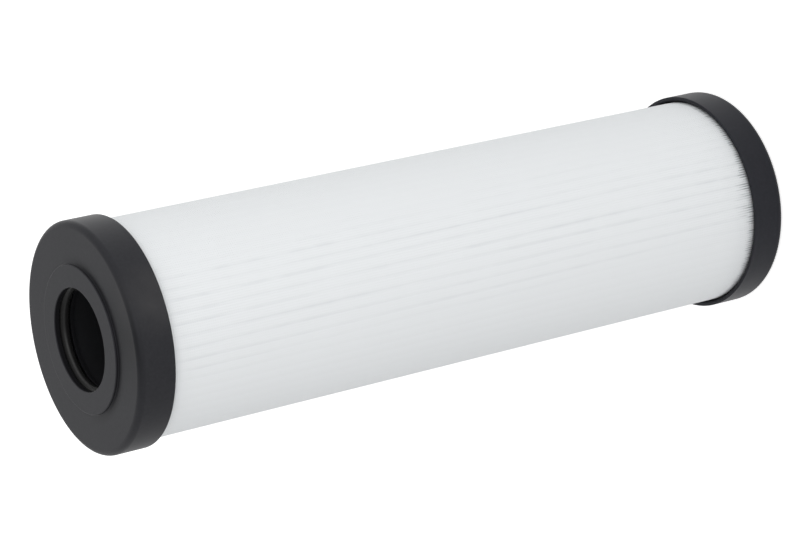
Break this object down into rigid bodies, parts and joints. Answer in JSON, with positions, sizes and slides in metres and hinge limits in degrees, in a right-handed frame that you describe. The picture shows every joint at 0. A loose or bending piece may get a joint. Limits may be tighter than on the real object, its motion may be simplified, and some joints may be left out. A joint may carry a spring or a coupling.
{
  "type": "hydraulic filter element",
  "caption": "Pleated hydraulic filter element: white mesh-wrapped pleats between two black moulded end caps, one blind and one with a sealed spigot bore.",
  "frame": {"origin": "centre of the closed cap's outer face, on the surface that the element stands on", "axes": "+Z along the element's axis from the closed cap to the open cap; X and Y are free, because the element is round"},
  "size_m": [0.078, 0.078, 0.264],
  "materials": {
    "cap_plastic": "satin black moulded glass-filled nylon",
    "core_plastic": "plain black moulded nylon",
    "seal_rubber": "smooth black nitrile rubber",
    "adhesive": "cured cream casting adhesive",
    "filter_laminate": "white glass-fibre laminate, pleated",
    "sleeve_mesh": "fine white plastic mesh"
  },
  "bodies": {
    "root": {"open_end_cap": "cap_plastic", "closed_end_cap": "cap_plastic", "bore_seal_ring": "seal_rubber", "open_end_potting": "adhesive", "closed_end_potting": "adhesive", "pleat_seam": "adhesive", "support_core": "core_plastic", "pleat_pack": "filter_laminate", "mesh_sleeve": "sleeve_mesh"}
  },
  "joints": []
}
